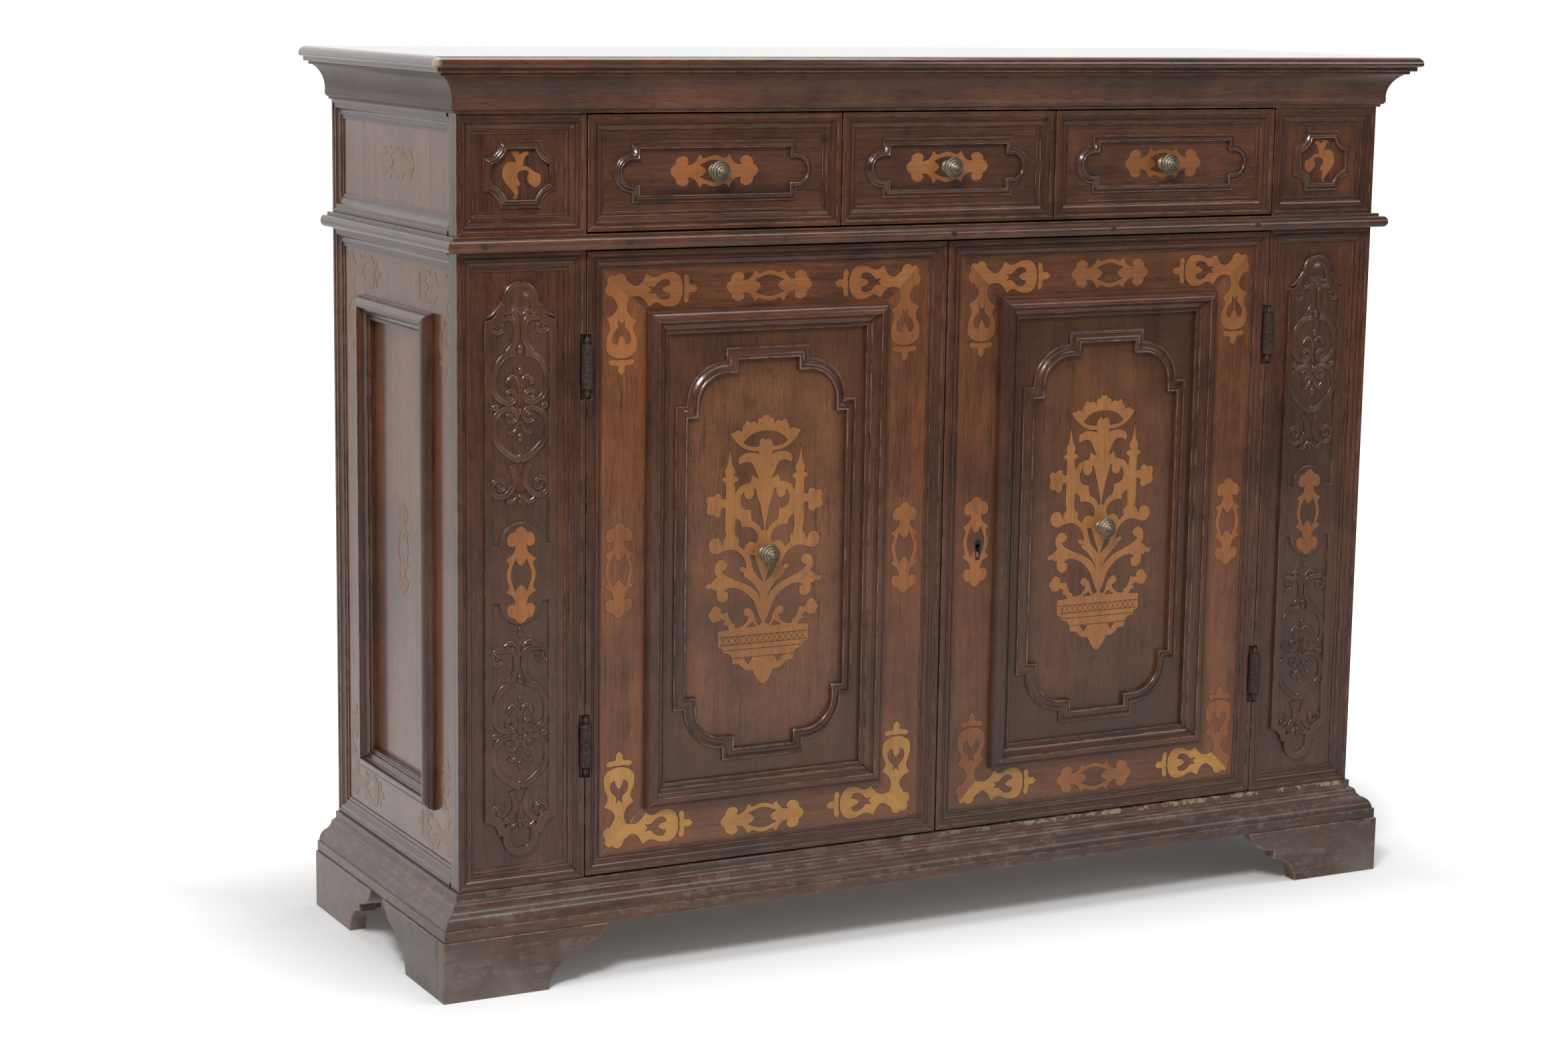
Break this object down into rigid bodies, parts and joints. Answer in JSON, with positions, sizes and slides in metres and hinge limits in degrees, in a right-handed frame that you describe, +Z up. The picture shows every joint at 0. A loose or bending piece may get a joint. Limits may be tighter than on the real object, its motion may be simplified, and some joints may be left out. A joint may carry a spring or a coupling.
{
  "type": "credenza",
  "caption": "Period walnut credenza with hinged panelled doors under a row of frieze drawers, moulded top, pilasters and bracket feet; a standing storage cupboard.",
  "frame": {"origin": "centre of the footprint, on the floor", "axes": "+X to the right seen from the front, +Y to the back, +Z up; the front faces -Y"},
  "size_m": [1.398, 0.463, 1.112],
  "materials": {
    "walnut": "dark waxed walnut, satin",
    "figured_walnut": "warmer figured walnut, satin",
    "inner_wood": "plain unwaxed fir",
    "old_brass": "aged, dull",
    "iron": "dark, oiled"
  },
  "bodies": {
    "carcass": {"back_boards": "inner_wood", "base_moulding": "walnut", "bottom_board": "inner_wood", "cornice_moulding": "walnut", "cupboard_shelf": "inner_wood", "drawer_deck": "inner_wood", "drawer_dividers": "inner_wood", "front_rails": "walnut", "left_front_foot": "walnut", "left_front_post": "walnut", "left_pilaster_mouldings": "walnut", "left_pilaster_panel": "walnut", "left_post_hinges": "iron", "left_rear_foot": "walnut", "left_side_frame": "walnut", "left_side_mouldings": "walnut", "left_side_panel": "walnut", "right_front_foot": "walnut", "right_front_post": "walnut", "right_pilaster_mouldings": "walnut", "right_pilaster_panel": "walnut", "right_post_hinges": "iron", "right_rear_foot": "walnut", "right_side_frame": "walnut", "right_side_mouldings": "walnut", "right_side_panel": "walnut", "shelf_cleats": "inner_wood", "top_board": "walnut", "waist_moulding": "walnut"},
    "left_door": {"left_door_frame": "walnut", "left_door_panel": "figured_walnut", "left_door_edge_moulding": "walnut", "left_door_panel_mouldings": "walnut", "left_door_knob": "old_brass", "left_door_hinges": "iron", "left_door_keepers": "iron"},
    "right_door": {"right_door_frame": "walnut", "right_door_panel": "figured_walnut", "right_door_edge_moulding": "walnut", "right_door_panel_mouldings": "walnut", "right_door_knob": "old_brass", "right_door_hinges": "iron", "right_door_lock": "iron"},
    "left_drawer": {"left_drawer_front": "walnut", "left_drawer_mouldings": "walnut", "left_drawer_box": "inner_wood", "left_drawer_knob": "old_brass"},
    "centre_drawer": {"centre_drawer_front": "walnut", "centre_drawer_mouldings": "walnut", "centre_drawer_box": "inner_wood", "centre_drawer_knob": "old_brass"},
    "right_drawer": {"right_drawer_front": "walnut", "right_drawer_mouldings": "walnut", "right_drawer_box": "inner_wood", "right_drawer_knob": "old_brass"},
    "lock_bolt": {"lock_bolt": "iron"},
    "rod_bolt": {"left_door_rod": "iron"}
  },
  "joints": [
    {"name": "left_door_hinge", "type": "hinge", "parent": "carcass", "child": "left_door", "pos_m": [-0.49225, -0.1905, 0.5], "axis": [0, 0, -1], "range_deg": [0, 120]},
    {"name": "right_door_hinge", "type": "hinge", "parent": "carcass", "child": "right_door", "pos_m": [0.49225, -0.1905, 0.5], "axis": [0, 0, 1], "range_deg": [0, 120]},
    {"name": "left_drawer_slide", "type": "slide", "parent": "carcass", "child": "left_drawer", "axis": [0, -1, 0], "range_m": [0, 0.28]},
    {"name": "centre_drawer_slide", "type": "slide", "parent": "carcass", "child": "centre_drawer", "axis": [0, -1, 0], "range_m": [0, 0.28]},
    {"name": "right_drawer_slide", "type": "slide", "parent": "carcass", "child": "right_drawer", "axis": [0, -1, 0], "range_m": [0, 0.28]},
    {"name": "lock_bolt_slide", "type": "slide", "parent": "right_door", "child": "lock_bolt", "axis": [-1, 0, 0], "range_m": [0, 0.016]},
    {"name": "rod_bolt_slide", "type": "slide", "parent": "left_door", "child": "rod_bolt", "axis": [0, 0, 1], "range_m": [0, 0.018]}
  ]
}
